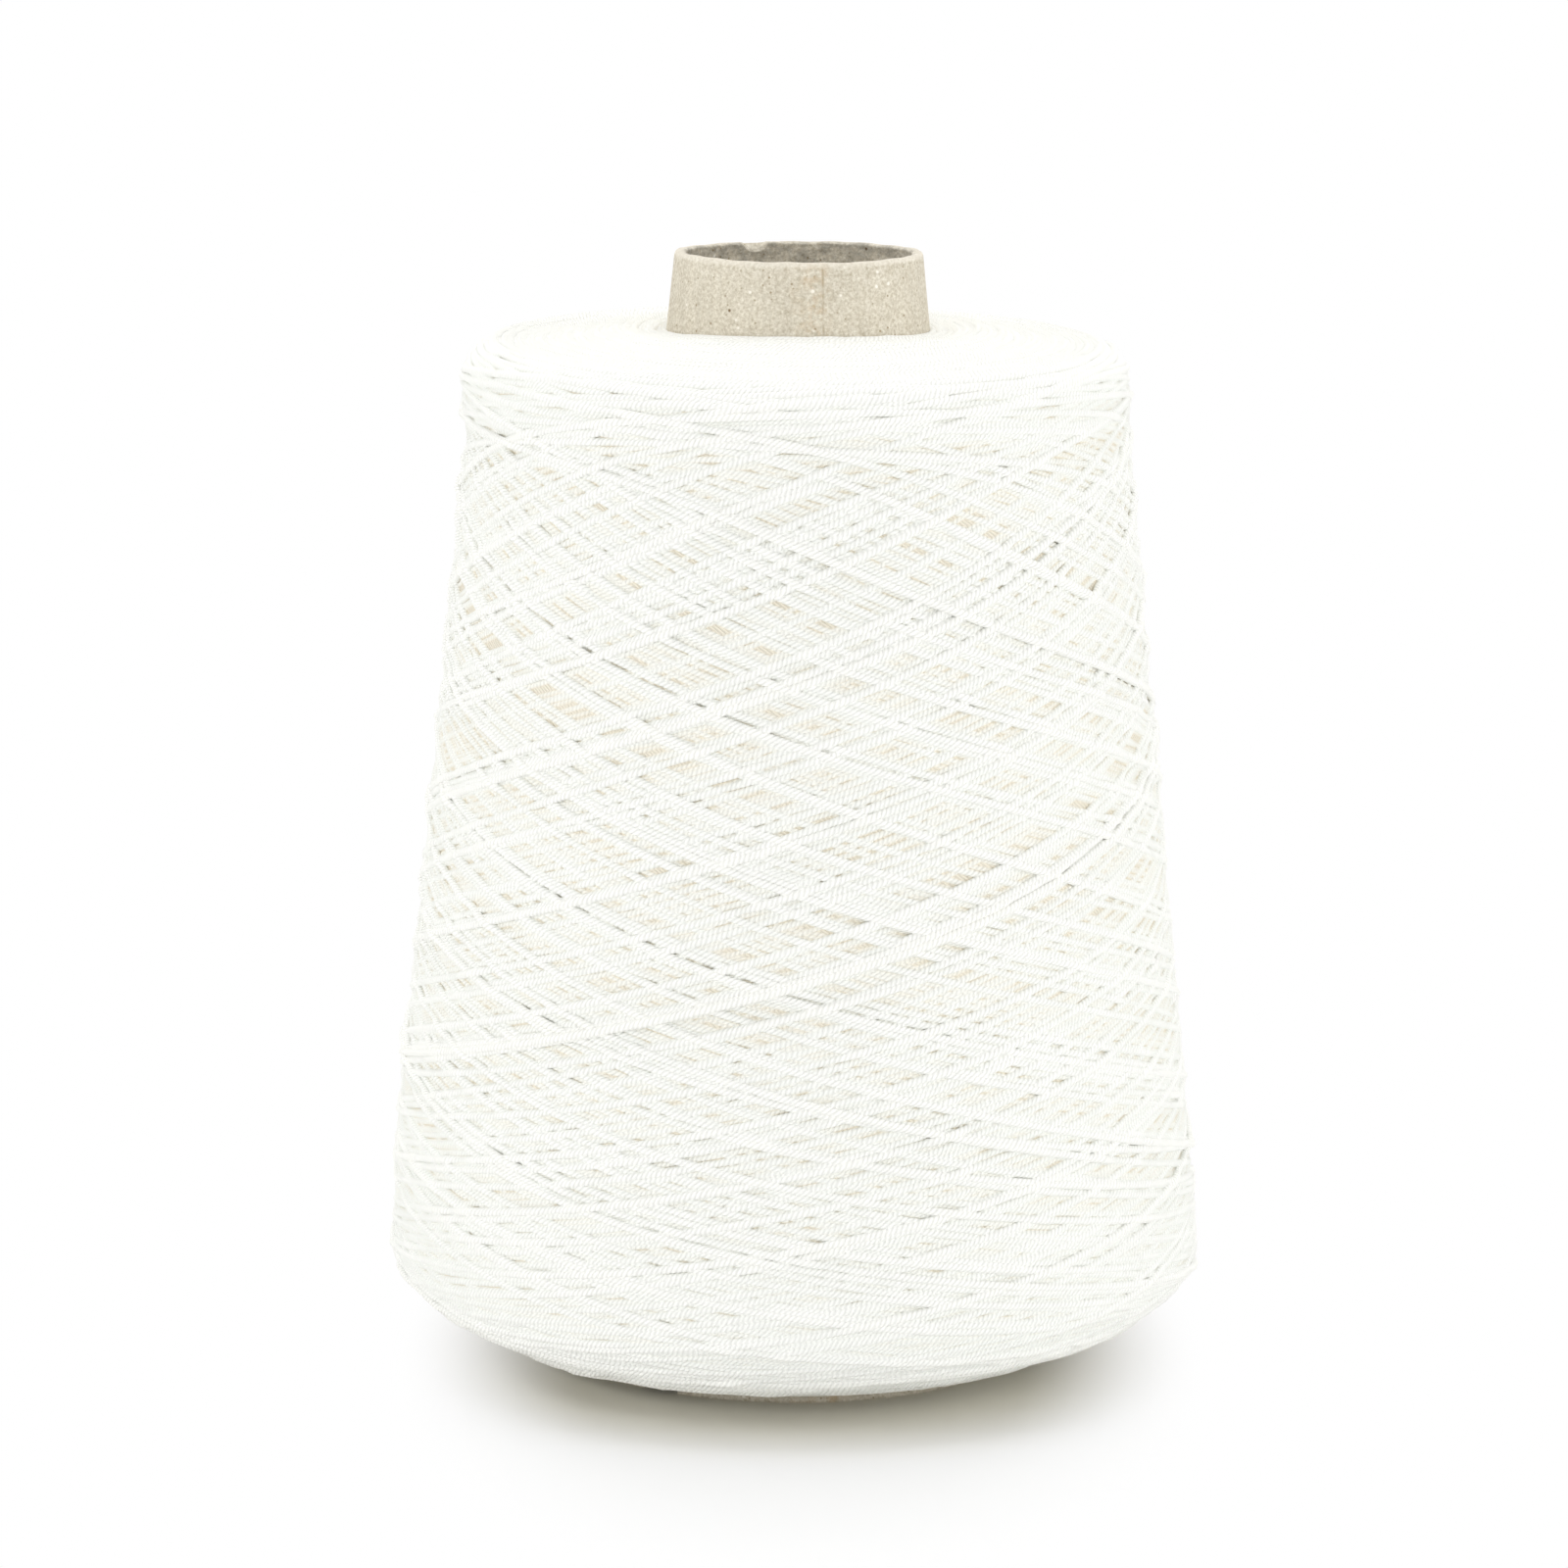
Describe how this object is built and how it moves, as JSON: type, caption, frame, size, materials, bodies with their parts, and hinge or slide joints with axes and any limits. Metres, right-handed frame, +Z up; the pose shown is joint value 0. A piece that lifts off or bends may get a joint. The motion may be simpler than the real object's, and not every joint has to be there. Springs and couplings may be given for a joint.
{
  "type": "thread cone",
  "caption": "Tapered package of cross-wound plied cotton thread on a hollow paperboard cone, bare at the nose and standing on the cone's foot.",
  "frame": {"origin": "centre of the cone's foot, on the plane it stands on", "axes": "+Z up along the cone's axis from the foot to the nose; the front, with the tail slot to its left, faces -Y"},
  "size_m": [0.1268, 0.1268, 0.17],
  "materials": {
    "paperboard": "matte, mottled grey-beige recycled board",
    "cotton_thread": "matte undyed plied cotton, slightly hairy"
  },
  "bodies": {
    "root": {"paper_cone": "paperboard", "thread_core": "cotton_thread", "outer_winding": "cotton_thread"}
  },
  "joints": []
}
